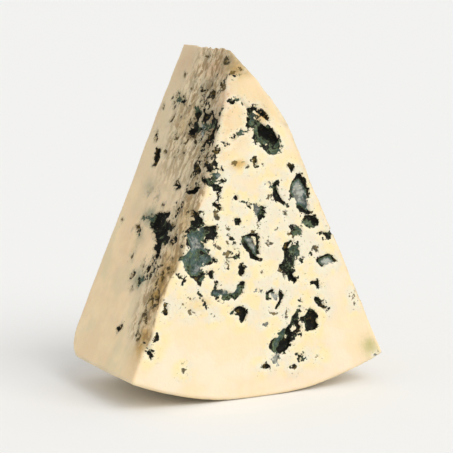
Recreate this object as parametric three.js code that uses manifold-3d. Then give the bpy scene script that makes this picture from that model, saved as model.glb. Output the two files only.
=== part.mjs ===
// A wedge of blue cheese, standing on its rind with its tip up.
// Millimetres, +Z up. The wide cut face looks along -Y, and the origin is the middle of the foot.

import * as THREE from "three";
import { mergeVertices } from "three/addons/utils/BufferGeometryUtils.js";
import Module from "manifold-3d";

// Driving dimensions
const WHEEL_RADIUS = 101; // the wheel that the wedge was cut from
const HALF_ANGLE = THREE.MathUtils.degToRad(24); // half of the wedge's angle at its tip
const DEPTH = 50; // half of the wheel's height: the wheel was split level first
const FOOT_HALF_WIDTH = 10; // half of the stretch of rim that the wedge's weight presses flat
const RIND_EDGE_RADIUS = 9; // the rounded edge between the wheel's rim and its flat end
const RIM_FACET = THREE.MathUtils.degToRad(1.5); // one facet of the round rim
const SIDE_BOW = 0.6; // how far the knife wandered outwards on each side face
const TIP_BREAK_BACK = 15; // the crumbled corner of the tip: how far back it reaches,
const TIP_BREAK_LEFT = 38; // how far down the left edge of the wide face
const TIP_BREAK_RIGHT = 21; // and how far down the right edge
const POCKET_SEGMENTS = 12; // round each mould pocket

const FRONT = -DEPTH / 2;
const BACK = DEPTH / 2;
const TIP_HEIGHT = Math.sqrt(WHEEL_RADIUS ** 2 - FOOT_HALF_WIDTH ** 2);

// Where the mould has opened the paste. On the wide face "across" is measured to the right of the tip,
// on a side face it is measured back from the wide face; "down" is measured from the tip along the face.
// Tilt is in degrees: 0 lies across the face, 90 points down it.
const POCKETS = {
  wide: [
    { across: 2.5, down: 23.5, length: 13, width: 5.5, depth: 4, tilt: 50 },
    { across: -13.5, down: 35, length: 9, width: 5, depth: 3, tilt: 60 },
    { across: 13.5, down: 42, length: 12, width: 5.5, depth: 3, tilt: 75 },
    { across: -19.5, down: 56, length: 17, width: 8, depth: 3, tilt: 95 },
    { across: -2.5, down: 56.5, length: 8.5, width: 3.5, depth: 3, tilt: 52 },
    { across: 10, down: 61, length: 12, width: 4, depth: 5, tilt: 88 },
    { across: 22, down: 62, length: 5, width: 3.5, depth: 2.5, tilt: 0 },
    { across: -9, down: 68.5, length: 10, width: 3, depth: 3, tilt: -22 },
    { across: 6.5, down: 72, length: 5.5, width: 2.5, depth: 3, tilt: 110 },
    { across: -6, down: 75, length: 5, width: 4.5, depth: 4, tilt: 45 },
    { across: 17, down: 79, length: 6.5, width: 5, depth: 5, tilt: 60 },
    { across: 7.5, down: 84.5, length: 12, width: 4.5, depth: 4.5, tilt: 128 },
  ],
  left: [
    { across: 16, down: 25, length: 16, width: 7, depth: 3, tilt: 140 },
    { across: 37.5, down: 35.5, length: 4.5, width: 3, depth: 2.5, tilt: 115 },
    { across: 37, down: 23, length: 3.5, width: 2.5, depth: 2, tilt: 110 },
    { across: 17.5, down: 57.5, length: 17, width: 7, depth: 6, tilt: 142 },
    { across: 32, down: 58, length: 5, width: 3, depth: 3, tilt: 155 },
    { across: 6.5, down: 43, length: 6, width: 3, depth: 2.5, tilt: 20 },
    { across: 20, down: 87.5, length: 4, width: 2.5, depth: 2, tilt: 80 },
  ],
  right: [
    { across: 26, down: 20, length: 6, width: 3.5, depth: 2.5, tilt: 65 },
    { across: 14, down: 33, length: 10, width: 5, depth: 3.5, tilt: 120 },
    { across: 33, down: 44, length: 12, width: 6, depth: 4, tilt: 40 },
    { across: 15, down: 58, length: 14, width: 6.5, depth: 5, tilt: 80 },
    { across: 38, down: 66, length: 7, width: 4, depth: 3, tilt: 130 },
    { across: 24, down: 78, length: 9, width: 4.5, depth: 3.5, tilt: 20 },
  ],
};

const wasm = await Module();
wasm.setup();

// A closed three.js geometry as a solid that can be joined and cut
function solidOf(geometry) {
  geometry.deleteAttribute("normal");
  geometry.deleteAttribute("uv");
  const merged = mergeVertices(geometry);
  const vertProperties = new Float32Array(merged.attributes.position.array);
  const triVerts = new Uint32Array(merged.index.array);
  return new wasm.Manifold(new wasm.Mesh({ numProp: 3, vertProperties, triVerts }));
}

function geometryOf(solid) {
  const { vertProperties, triVerts } = solid.getMesh();
  const geometry = new THREE.BufferGeometry();
  geometry.setAttribute("position", new THREE.BufferAttribute(vertProperties, 3));
  geometry.setIndex(new THREE.BufferAttribute(triVerts, 1));
  geometry.computeVertexNormals();
  return geometry;
}

// A point of the wedge's outline: along an edge from the tip, on one side of the middle
function edgePoint(side, down, y) {
  const x = side * down * Math.sin(HALF_ANGLE);
  return new THREE.Vector3(x, y, TIP_HEIGHT - down * Math.cos(HALF_ANGLE));
}

// Half of the wheel: cut level in front, rounded where its rim meets its flat end behind
function halfWheel() {
  const radius = RIND_EDGE_RADIUS;
  const roundedEdge = new THREE.Path().absarc(WHEEL_RADIUS - radius, BACK - radius, radius, 0, Math.PI / 2);
  const profile = [
    new THREE.Vector2(0, FRONT),
    new THREE.Vector2(WHEEL_RADIUS, FRONT),
    ...roundedEdge.getPoints(6),
    new THREE.Vector2(0, BACK),
  ];
  const wheel = new THREE.LatheGeometry(profile, Math.round((2 * Math.PI) / RIM_FACET));
  wheel.translate(0, 0, TIP_HEIGHT);
  return solidOf(wheel);
}

// The space between the two knife cuts, from the tip down to the plane that the wedge stands on
function betweenTheCuts() {
  const steps = 8;
  const footX = TIP_HEIGHT * Math.tan(HALF_ANGLE);
  const cutX = (t) => footX * t + SIDE_BOW * Math.sin(Math.PI * t);
  const outline = new THREE.Shape();
  outline.moveTo(0, TIP_HEIGHT);
  for (let i = 1; i <= steps; i += 1) {
    outline.lineTo(-cutX(i / steps), TIP_HEIGHT * (1 - i / steps));
  }
  for (let i = steps; i >= 1; i -= 1) {
    outline.lineTo(cutX(i / steps), TIP_HEIGHT * (1 - i / steps));
  }
  outline.closePath();
  const prism = new THREE.ExtrudeGeometry(outline, { depth: 2 * DEPTH, bevelEnabled: false });
  prism.rotateX(Math.PI / 2);
  prism.translate(0, DEPTH, 0);
  return solidOf(prism);
}

// What crumbled away from the front of the tip: everything beyond a plane through three points
function brokenTip() {
  const back = new THREE.Vector3(0, FRONT + TIP_BREAK_BACK, TIP_HEIGHT);
  const left = edgePoint(-1, TIP_BREAK_LEFT, FRONT);
  const right = edgePoint(1, TIP_BREAK_RIGHT, FRONT);
  const plane = new THREE.Plane().setFromCoplanarPoints(back, left, right);
  const size = WHEEL_RADIUS;
  const block = new THREE.BoxGeometry(size, size, size);
  block.translate(0, 0, size / 2);
  block.applyQuaternion(new THREE.Quaternion().setFromUnitVectors(new THREE.Vector3(0, 0, 1), plane.normal));
  block.translate(left.x, left.y, left.z);
  return solidOf(block);
}

// The directions of a face: across it, down it, and through it
function faceFrame(face) {
  const side = { left: -1, wide: 0, right: 1 }[face];
  const across = side === 0 ? new THREE.Vector3(1, 0, 0) : new THREE.Vector3(0, 1, 0);
  const down = new THREE.Vector3(side * Math.sin(HALF_ANGLE), 0, side === 0 ? -1 : -Math.cos(HALF_ANGLE));
  const through = new THREE.Vector3().crossVectors(across, down);
  const frame = new THREE.Matrix4().makeBasis(across, down, through);
  return frame.setPosition(0, FRONT, TIP_HEIGHT);
}

// A mould pocket: a hollow with an oval mouth, half sunk into its face
function pocket(face, { across, down, length, width, depth, tilt }) {
  const hollow = new THREE.SphereGeometry(1, POCKET_SEGMENTS, POCKET_SEGMENTS / 2);
  hollow.scale(length / 2, width / 2, depth);
  hollow.rotateZ(THREE.MathUtils.degToRad(tilt));
  hollow.translate(across, down, 0);
  hollow.applyMatrix4(faceFrame(face));
  return solidOf(hollow);
}

function wedgeGeometry() {
  let wedge = halfWheel().intersect(betweenTheCuts()).subtract(brokenTip());
  for (const [face, pockets] of Object.entries(POCKETS)) {
    for (const shape of pockets) {
      wedge = wedge.subtract(pocket(face, shape));
    }
  }
  return geometryOf(wedge);
}

const paste = new THREE.MeshStandardMaterial({ color: 0xf9eccb, roughness: 0.55, metalness: 0 });
const wedge = new THREE.Mesh(wedgeGeometry(), paste);
wedge.name = "cheese_wedge";

const model = new THREE.Group();
model.add(wedge);

export default model;
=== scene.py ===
"""A wedge of blue cheese standing on its rind, on a pale floor in soft studio light.

The cheese is carved on a grid, as a block of paste with mould pockets eaten into it, and meshed as one
skin. Grid work is in millimetres, in the frame's own directions; Blender objects are in metres.
"""

import math

import bpy
import numpy as np
import openvdb
from mathutils import Matrix, Vector


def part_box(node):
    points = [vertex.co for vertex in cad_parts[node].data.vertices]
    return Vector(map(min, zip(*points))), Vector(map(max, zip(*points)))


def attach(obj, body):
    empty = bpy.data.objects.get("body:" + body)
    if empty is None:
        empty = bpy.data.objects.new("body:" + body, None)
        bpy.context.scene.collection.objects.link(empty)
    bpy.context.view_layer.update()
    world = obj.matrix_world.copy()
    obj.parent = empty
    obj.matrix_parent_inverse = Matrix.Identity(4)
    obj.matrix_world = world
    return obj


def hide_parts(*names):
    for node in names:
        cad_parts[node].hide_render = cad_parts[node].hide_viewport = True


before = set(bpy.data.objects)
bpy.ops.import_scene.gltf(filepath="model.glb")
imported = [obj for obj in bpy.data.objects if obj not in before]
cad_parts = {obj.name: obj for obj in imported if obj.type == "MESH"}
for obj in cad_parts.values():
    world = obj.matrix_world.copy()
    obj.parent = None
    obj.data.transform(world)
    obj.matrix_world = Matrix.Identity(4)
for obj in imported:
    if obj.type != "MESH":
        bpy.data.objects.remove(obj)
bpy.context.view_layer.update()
lowest, highest = (np.array(corner) * 1000.0 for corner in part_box("cheese_wedge"))

# ------------------------ driving dimensions, mm
STEP = 0.56  # grid spacing
MARGIN = 3.0  # grid beyond the cheese

TIP = highest[2]  # height of the wheel's axis, where the two side cuts meet
FRONT, BACK = lowest[1], highest[1]
FOOT_HALF_WIDTH = 10.0  # half of the stretch of rim that the wedge stands on
WHEEL_RADIUS = math.hypot(TIP, FOOT_HALF_WIDTH)
HALF_ANGLE = math.radians(24.0)  # half of the wedge's angle at its tip
SIN, COS = math.sin(HALF_ANGLE), math.cos(HALF_ANGLE)
RIND_EDGE = 9.0  # rounding between the rim and the flat rind behind
TIP_BREAK_BACK = 15.0  # the crumbled corner of the tip: how far back it reaches,
TIP_BREAK_LEFT = 38.0  # how far down the left edge of the wide face
TIP_BREAK_RIGHT = 21.0  # and how far down the right edge
RIGHT_TEARING = 0.5  # how torn the right cut is, against the left one
PROUD = 0.3  # how far the side cuts and the tip stand out from their planes, before their relief

TIP_EDGE = 0.6  # rounding of the edge where the two side cuts meet,
CUT_EDGE = 0.7  # of the other edges of the cuts,
CRUMBLED_EDGE = 4.0  # how much more it is at the very tip,
BREAK_EDGE = 5.0  # of the edge where the wide face breaks off,
FOOT_EDGE = 0.8  # and round the foot
CRUMBLE_DEPTH = 1.5  # the crumbs lost from the left edge of the wide face: how deep
CRUMBLE_REACH = 2.2  # and how far from the edge

FACE_SLACK = 1.2  # how far the skin may stray from its face's plane before a pocket narrows,
TIP_SLACK = 4.0  # the same on the rounded tip,
NARROWING = 3.0  # and how fast it narrows from there
SCATTER = 0.6  # how closely scattered specks keep to their spread
LOWEST_SPECK = 95.0  # how far down the faces specks are scattered

# ------------------------ mould
# Tones of mould, as places on the colour ramp MOULD_COLOURS. The black tone is dark mould and painted
# shadow of deep pockets and their shaded edges together.
OCHRE, BROWN, BLACK_MOULD_AND_SHADE, GREEN, TEAL, SLATE, GREY = 0.0, 0.17, 0.27, 0.48, 0.68, 0.82, 1.0

# Pockets and veins by face. Each is a path of (across, down, half width) points, its depth and its tone.
# On the wide face "across" is measured to the right of the tip, on a side face back from the wide face,
# and on the broken face of the tip to the right of its middle. "Down" is measured from the tip, down the
# face.
WIDE_POCKETS = [
    ([(2.4, 26.8, 1.1), (4.6, 28.4, 1.6), (6.2, 27.4, 1.1)], 2.8, GREEN),
    ([(-8.0, 31.4, 0.3), (-6.6, 31.8, 0.4)], 0.3, OCHRE),
    ([(-4.8, 32.2, 0.4), (-4.0, 32.8, 0.5)], 0.4, OCHRE),
    ([(-0.9, 31.0, 0.6), (-0.9, 32.8, 0.5)], 1.4, BROWN),
    ([(1.6, 32.2, 0.4)], 0.4, OCHRE),
    ([(10.1, 33.0, 0.6), (10.8, 34.2, 0.8)], 1.4, BROWN),
    ([(-14.6, 33.2, 1.1), (-12.4, 34.0, 1.6), (-12.6, 35.6, 1.1)], 2.0, SLATE),
    ([(-19.8, 30.8, 0.5), (-19.6, 32.4, 0.8), (-19.6, 33.6, 0.4)], 1.8, BLACK_MOULD_AND_SHADE),
    ([(-17.2, 31.0, 0.8), (-16.4, 32.4, 0.7), (-15.6, 34.4, 0.6)], 2.0, GREEN),
    ([(-18.4, 35.2, 0.7), (-16.2, 35.0, 0.5)], 1.4, OCHRE),
    ([(-15.0, 31.6, 0.6), (-13.2, 31.9, 0.7), (-11.4, 33.0, 0.6)], 2.4, BLACK_MOULD_AND_SHADE),
    ([(-15.8, 36.0, 0.8), (-13.8, 37.0, 0.9), (-12.2, 38.6, 0.8)], 2.8, BLACK_MOULD_AND_SHADE),
    ([(-13.4, 35.2, 0.5), (-11.8, 36.6, 0.4)], 2.6, BLACK_MOULD_AND_SHADE),
    ([(-12.9, 40.3, 0.7)], 1.1, BROWN),
    ([(-14.0, 42.8, 0.6), (-12.2, 44.2, 0.6)], 1.4, BLACK_MOULD_AND_SHADE),
    ([(-13.4, 45.8, 0.6), (-12.6, 46.8, 0.8)], 1.0, OCHRE),
    ([(-6.9, 41.2, 0.95)], 1.4, BROWN),
    ([(2.8, 37.8, 0.4), (4.6, 38.6, 0.5)], 0.5, GREY),
    ([(5.8, 38.2, 0.8), (5.8, 40.6, 0.8), (7.0, 43.0, 0.6), (8.0, 44.6, 0.4)], 2.4, BLACK_MOULD_AND_SHADE),
    ([(-4.2, 43.0, 0.4), (-2.8, 44.4, 0.5)], 0.7, BLACK_MOULD_AND_SHADE),
    ([(-0.6, 44.8, 1.0), (0.0, 46.2, 1.3)], 1.6, GREY),
    ([(1.8, 45.0, 0.7), (1.6, 46.8, 0.9), (0.2, 47.8, 0.7)], 2.6, BLACK_MOULD_AND_SHADE),
    ([(-6.9, 47.2, 0.9), (-6.6, 48.2, 0.95)], 2.0, BROWN),
    ([(8.3, 46.5, 0.4), (8.3, 48.3, 0.4)], 0.4, OCHRE),
    ([(13.0, 38.2, 1.2), (13.2, 41.5, 2.1), (14.6, 44.0, 1.8), (15.4, 45.8, 1.1)], 2.2, GREY),
    ([(12.8, 36.2, 0.5), (11.4, 38.6, 0.5), (11.0, 43.2, 0.4)], 2.4, BLACK_MOULD_AND_SHADE),
    ([(13.4, 36.0, 0.6), (15.0, 38.6, 0.5), (16.4, 42.5, 0.4)], 2.8, BLACK_MOULD_AND_SHADE),
    ([(13.0, 44.8, 0.5), (15.2, 46.6, 0.7), (17.2, 47.2, 0.6)], 2.4, BLACK_MOULD_AND_SHADE),
    ([(15.4, 49.4, 0.8), (16.6, 50.6, 1.2), (17.8, 50.2, 1.0)], 2.0, GREEN),
    ([(15.2, 48.4, 0.5), (17.4, 48.8, 0.7), (18.6, 50.8, 0.6)], 2.6, BLACK_MOULD_AND_SHADE),
    ([(10.4, 51.0, 0.5), (11.6, 51.6, 0.5)], 1.2, BLACK_MOULD_AND_SHADE),
    ([(12.0, 52.8, 1.2), (13.8, 52.0, 0.7)], 1.4, GREEN),
    ([(19.8, 53.6, 0.4), (21.3, 54.4, 0.5), (22.8, 55.4, 0.7), (23.8, 53.8, 0.4)], 1.3, BLACK_MOULD_AND_SHADE),
    ([(-3.4, 54.2, 1.2), (-1.8, 56.2, 1.1), (-0.6, 58.3, 0.6)], 2.2, GREY),
    ([(-5.0, 54.2, 0.7), (-3.6, 56.6, 0.6), (-1.6, 58.8, 0.7), (0.1, 60.0, 0.6)], 3.2, BLACK_MOULD_AND_SHADE),
    ([(-4.8, 53.4, 0.6), (-2.8, 52.3, 0.6), (-0.8, 52.9, 0.5), (-0.2, 55.0, 0.4), (0.2, 57.8, 0.5)],
     2.4, BLACK_MOULD_AND_SHADE),
    ([(11.2, 58.0, 1.6), (10.4, 60.4, 1.5), (9.4, 62.6, 1.4)], 2.6, GREEN),
    ([(10.8, 55.0, 0.4), (8.6, 56.6, 0.8), (8.8, 59.4, 0.7), (8.6, 61.4, 0.7)], 3.4, BLACK_MOULD_AND_SHADE),
    ([(6.6, 62.6, 0.6), (8.0, 63.8, 0.7), (10.2, 65.4, 1.3), (11.2, 66.2, 0.9)], 4.4, BLACK_MOULD_AND_SHADE),
    ([(13.4, 61.4, 0.5), (14.4, 60.6, 0.4)], 0.8, BLACK_MOULD_AND_SHADE),
    ([(16.6, 59.8, 0.5)], 0.9, BLACK_MOULD_AND_SHADE),
    ([(17.8, 58.2, 0.8)], 0.9, OCHRE),
    ([(20.8, 61.9, 0.9), (23.0, 61.8, 0.9)], 1.6, GREY),
    ([(19.0, 62.0, 0.5), (20.4, 61.2, 0.5), (21.6, 60.4, 0.4), (23.4, 60.6, 0.5), (24.8, 62.4, 0.4)],
     2.2, BLACK_MOULD_AND_SHADE),
    ([(19.8, 62.6, 0.5), (20.6, 63.6, 0.5)], 2.0, BLACK_MOULD_AND_SHADE),
    ([(-5.4, 60.4, 0.4), (-5.6, 63.0, 0.9)], 1.8, BLACK_MOULD_AND_SHADE),
    ([(-14.9, 62.6, 0.8), (-14.6, 64.2, 0.5)], 1.4, BLACK_MOULD_AND_SHADE),
    ([(-19.8, 50.6, 1.9), (-17.2, 51.0, 2.1), (-15.2, 50.2, 1.1)], 2.2, TEAL),
    ([(-19.8, 53.0, 2.0), (-19.4, 56.0, 2.3)], 2.6, SLATE),
    ([(-21.6, 58.2, 1.9), (-19.0, 58.2, 2.6), (-16.8, 58.6, 1.8)], 2.6, TEAL),
    ([(-23.2, 57.4, 1.0), (-22.2, 59.4, 1.2)], 2.0, TEAL),
    ([(-19.8, 60.8, 2.2), (-19.2, 62.2, 1.8)], 2.4, TEAL),
    ([(-21.9, 59.8, 0.5), (-21.2, 62.2, 0.6), (-19.6, 63.6, 0.7), (-17.6, 62.8, 0.5)], 2.4, BLACK_MOULD_AND_SHADE),
    ([(-21.8, 49.8, 0.6), (-20.4, 48.6, 0.9), (-18.8, 47.4, 1.0), (-19.4, 45.8, 0.7)], 3.2, BLACK_MOULD_AND_SHADE),
    ([(-21.2, 47.6, 0.5)], 1.6, BLACK_MOULD_AND_SHADE),
    ([(-16.8, 48.8, 0.5), (-14.0, 49.6, 0.8), (-14.8, 51.2, 0.6), (-16.2, 53.4, 0.7)], 2.6, BLACK_MOULD_AND_SHADE),
    ([(-13.6, 52.0, 0.4)], 1.2, BLACK_MOULD_AND_SHADE),
    ([(-23.6, 51.4, 0.9), (-22.2, 51.6, 0.5), (-22.0, 54.2, 0.5)], 2.2, BLACK_MOULD_AND_SHADE),
    ([(-24.2, 54.4, 0.7)], 1.4, BLACK_MOULD_AND_SHADE),
    ([(-17.8, 56.4, 0.6)], 3.4, BLACK_MOULD_AND_SHADE),
    ([(-14.4, 59.0, 0.7)], 1.4, BLACK_MOULD_AND_SHADE),
    ([(-13.8, 66.2, 0.6)], 1.2, BLACK_MOULD_AND_SHADE),
    ([(-14.6, 68.0, 0.7), (-12.6, 68.4, 0.9), (-11.0, 69.2, 0.7)], 1.4, TEAL),
    ([(-14.2, 70.2, 0.5), (-12.2, 69.8, 0.4), (-10.2, 70.1, 0.4)], 1.6, BLACK_MOULD_AND_SHADE),
    ([(-9.8, 69.2, 0.6), (-7.8, 69.1, 0.8), (-6.2, 68.0, 0.9), (-5.4, 66.4, 0.9)], 2.2, GREEN),
    ([(-9.6, 69.4, 0.4), (-7.4, 69.4, 0.5)], 2.6, BLACK_MOULD_AND_SHADE),
    ([(16.8, 67.8, 0.4), (18.4, 68.4, 0.4), (19.8, 69.6, 0.4)], 1.2, BLACK_MOULD_AND_SHADE),
    ([(-0.6, 69.0, 0.4)], 0.6, GREY),
    ([(2.2, 71.8, 0.5), (2.8, 70.2, 0.5), (4.4, 69.4, 0.5)], 2.0, BLACK_MOULD_AND_SHADE),
    ([(7.2, 69.8, 0.4), (8.0, 71.2, 0.7), (6.6, 72.4, 0.6), (5.8, 74.4, 0.4)], 2.4, BLACK_MOULD_AND_SHADE),
    ([(3.8, 71.2, 0.6), (6.4, 70.8, 0.5)], 0.9, GREY),
    ([(-8.8, 74.8, 0.8), (-7.6, 73.6, 0.6)], 1.6, GREEN),
    ([(-7.8, 73.3, 0.4), (-6.0, 74.4, 1.4), (-4.9, 75.6, 1.1), (-5.6, 77.0, 0.7)], 4.4, BLACK_MOULD_AND_SHADE),
    ([(-24.8, 70.6, 0.5)], 0.4, OCHRE),
    ([(-21.6, 69.2, 0.4)], 0.4, OCHRE),
    ([(-18.4, 69.7, 0.6), (-17.2, 71.8, 0.5)], 0.9, BLACK_MOULD_AND_SHADE),
    ([(-15.1, 75.0, 0.5)], 0.4, OCHRE),
    ([(16.2, 75.8, 0.6), (16.6, 79.0, 2.1), (17.4, 80.8, 1.7)], 5.0, BLACK_MOULD_AND_SHADE),
    ([(13.6, 78.4, 0.4), (15.0, 78.9, 0.8)], 3.0, BLACK_MOULD_AND_SHADE),
    ([(18.8, 73.6, 0.7), (20.2, 75.2, 0.6), (22.0, 77.0, 0.5)], 1.8, BLACK_MOULD_AND_SHADE),
    ([(13.4, 73.4, 0.5)], 0.9, BLACK_MOULD_AND_SHADE),
    ([(12.5, 75.0, 0.4), (12.2, 77.2, 0.6), (11.0, 79.2, 1.2)], 2.0, GREEN),
    ([(12.4, 80.4, 0.8), (13.6, 81.6, 0.6)], 1.8, BLACK_MOULD_AND_SHADE),
    ([(9.2, 80.8, 0.6), (9.4, 83.4, 0.9), (11.2, 83.4, 0.8), (13.4, 82.4, 0.6)], 3.2, BLACK_MOULD_AND_SHADE),
    ([(7.4, 82.6, 1.0), (6.0, 85.0, 1.7), (5.0, 87.2, 1.4)], 3.4, GREEN),
    ([(9.4, 84.6, 0.6), (7.6, 86.4, 1.0), (6.0, 88.2, 0.8)], 4.6, BLACK_MOULD_AND_SHADE),
    ([(4.8, 83.8, 0.5), (3.8, 86.4, 0.5)], 2.2, BLACK_MOULD_AND_SHADE),
    ([(4.2, 89.4, 0.9), (4.8, 90.6, 0.6)], 0.7, GREY),
    ([(1.8, 79.0, 0.5)], 0.6, GREY),
    ([(1.2, 91.6, 1.15)], 1.4, BROWN),
    ([(10.2, 92.7, 0.6), (11.4, 92.1, 0.4)], 0.8, BROWN),
    ([(12.0, 88.8, 0.4), (13.0, 90.4, 0.4), (13.4, 91.4, 0.4)], 0.8, BLACK_MOULD_AND_SHADE),
    ([(14.4, 89.6, 0.4), (14.8, 90.6, 0.4)], 0.6, GREEN),
    ([(19.0, 90.6, 0.5)], 0.6, OCHRE),
    ([(31.4, 73.0, 0.6), (32.0, 75.6, 0.5)], 0.4, OCHRE),
    ([(39.2, 92.4, 0.5)], 0.6, GREY),
    ([(-24.8, 89.6, 0.4)], 0.3, OCHRE),
    ([(-29.6, 70.2, 0.5), (-30.0, 73.0, 0.6)], 1.1, BROWN),
    ([(-33.2, 79.4, 0.6)], 0.8, BROWN),
    ([(-36.8, 80.4, 0.6)], 1.0, BLACK_MOULD_AND_SHADE),
    ([(-35.0, 82.0, 0.4), (-35.3, 84.6, 0.7)], 1.2, BROWN),
]
LEFT_POCKETS = [
    ([(8.6, 6.4, 0.5), (11.4, 6.4, 0.7)], 1.2, BROWN),
    ([(17.0, 3.0, 0.5)], 0.7, OCHRE),
    ([(29.0, 2.6, 0.6), (31.5, 2.4, 0.5)], 0.8, OCHRE),
    ([(21.0, 11.6, 0.5), (22.6, 13.4, 0.6), (25.4, 12.8, 0.4)], 0.9, BROWN),
    ([(13.4, 10.2, 0.4), (12.2, 11.6, 0.5)], 0.8, OCHRE),
    ([(31.6, 13.4, 0.6)], 0.7, OCHRE),
    ([(14.6, 25.8, 0.7), (17.0, 25.0, 0.9), (18.8, 23.4, 0.8)], 0.9, GREY),
    ([(11.0, 23.2, 0.9), (14.0, 23.4, 1.0), (17.2, 23.8, 0.8)], 1.8, GREEN),
    ([(13.6, 19.4, 0.7), (11.6, 21.6, 1.0), (8.6, 23.6, 0.8)], 2.6, BLACK_MOULD_AND_SHADE),
    ([(9.6, 23.8, 1.0), (10.2, 26.6, 1.5), (11.2, 29.4, 1.3)], 3.2, BLACK_MOULD_AND_SHADE),
    ([(7.6, 27.6, 0.9), (8.4, 29.2, 0.9)], 1.2, GREEN),
    ([(15.8, 20.6, 0.9), (18.8, 20.8, 0.8)], 2.2, BLACK_MOULD_AND_SHADE),
    ([(24.6, 18.8, 0.6), (21.8, 20.8, 1.2), (20.8, 24.0, 1.2)], 1.8, GREEN),
    ([(23.8, 19.6, 0.5), (22.0, 22.2, 0.6)], 2.4, BLACK_MOULD_AND_SHADE),
    ([(18.8, 25.2, 0.9), (21.0, 25.6, 1.2), (23.6, 26.2, 0.8)], 2.8, BLACK_MOULD_AND_SHADE),
    ([(19.6, 27.6, 0.6), (22.4, 27.4, 0.7)], 1.4, OCHRE),
    ([(2.8, 27.0, 0.6), (3.6, 30.0, 0.9)], 1.8, BROWN),
    ([(2.8, 33.6, 0.5)], 1.0, BLACK_MOULD_AND_SHADE),
    ([(7.4, 31.4, 0.6), (7.8, 33.2, 0.6)], 1.6, BROWN),
    ([(0.6, 37.0, 0.7), (5.0, 35.2, 0.6)], 1.6, BLACK_MOULD_AND_SHADE),
    ([(8.2, 37.4, 0.6), (10.6, 35.8, 0.5)], 1.5, BROWN),
    ([(1.6, 39.0, 0.5), (4.6, 39.6, 0.5)], 1.4, BLACK_MOULD_AND_SHADE),
    ([(5.2, 42.2, 0.8), (8.6, 43.5, 0.7)], 2.2, BROWN),
    ([(11.6, 41.4, 0.5)], 1.0, BROWN),
    ([(16.2, 42.8, 0.4), (19.6, 42.6, 0.5)], 1.2, BROWN),
    ([(33.6, 17.8, 0.5), (34.6, 16.8, 0.4)], 1.0, BROWN),
    ([(35.6, 17.6, 0.6), (38.6, 16.4, 0.5)], 0.5, GREEN),
    ([(29.6, 19.2, 0.6)], 0.9, OCHRE),
    ([(36.8, 22.6, 1.0), (37.4, 23.4, 0.8)], 1.4, OCHRE),
    ([(42.4, 16.8, 0.4)], 0.7, OCHRE),
    ([(46.2, 20.4, 0.6)], 0.8, OCHRE),
    ([(29.6, 28.8, 0.6)], 0.8, OCHRE),
    ([(44.6, 28.8, 0.6), (43.4, 30.6, 0.9)], 1.6, BROWN),
    ([(39.4, 33.8, 1.0), (37.6, 36.2, 1.6)], 3.0, BROWN),
    ([(33.6, 34.0, 0.5)], 0.7, OCHRE),
    ([(1.4, 49.6, 0.8), (3.2, 49.2, 0.6)], 1.8, BROWN),
    ([(0.6, 56.4, 0.8)], 1.6, BLACK_MOULD_AND_SHADE),
    ([(5.8, 58.0, 0.5), (8.0, 56.8, 0.6)], 1.4, BROWN),
    ([(15.6, 52.0, 0.9), (19.6, 52.4, 1.5), (24.6, 54.0, 1.3)], 3.6, BLACK_MOULD_AND_SHADE),
    ([(11.4, 55.0, 0.5), (14.6, 54.8, 1.0)], 2.6, BLACK_MOULD_AND_SHADE),
    ([(11.8, 58.6, 1.4), (15.6, 57.0, 2.6), (19.6, 55.4, 3.0), (23.0, 55.0, 2.1)], 7.0, BLACK_MOULD_AND_SHADE),
    ([(16.8, 59.2, 1.5), (14.6, 61.6, 2.1), (13.4, 63.4, 1.4)], 5.5, BLACK_MOULD_AND_SHADE),
    ([(25.0, 53.6, 0.9), (28.6, 54.4, 0.7), (32.0, 54.6, 0.6)], 1.0, GREEN),
    ([(30.8, 58.4, 0.8), (33.0, 57.6, 1.0), (34.8, 58.8, 0.5)], 2.0, BROWN),
    ([(30.4, 59.8, 0.6)], 0.8, GREEN),
    ([(27.6, 47.4, 0.8)], 0.6, GREY),
    ([(32.6, 45.8, 0.5), (34.4, 47.4, 0.5)], 0.6, GREY),
    ([(45.6, 57.2, 0.6)], 0.4, OCHRE),
    ([(29.6, 66.4, 0.6)], 0.4, OCHRE),
    ([(5.4, 68.4, 0.8)], 1.4, BROWN),
    ([(8.0, 66.0, 0.4), (11.0, 67.2, 0.5)], 1.0, OCHRE),
    ([(15.0, 65.6, 0.5), (15.4, 69.4, 0.5)], 1.3, BROWN),
    ([(19.6, 68.2, 0.7)], 1.3, BROWN),
    ([(16.6, 71.2, 0.7), (18.8, 72.8, 0.7)], 0.6, GREEN),
    ([(14.8, 71.4, 0.4), (18.8, 74.0, 0.5)], 1.2, GREEN),
    ([(21.8, 75.6, 0.6)], 0.6, OCHRE),
    ([(24.4, 71.2, 0.6), (25.4, 72.2, 0.5)], 1.2, BROWN),
    ([(3.8, 74.0, 0.6), (2.4, 76.4, 0.9)], 1.2, OCHRE),
    ([(8.2, 79.0, 0.5), (5.6, 82.0, 0.7)], 0.9, OCHRE),
    ([(19.4, 86.6, 0.5), (20.4, 88.0, 0.9)], 1.7, BROWN),
    ([(1.8, 88.2, 0.7)], 1.0, BROWN),
]
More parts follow.
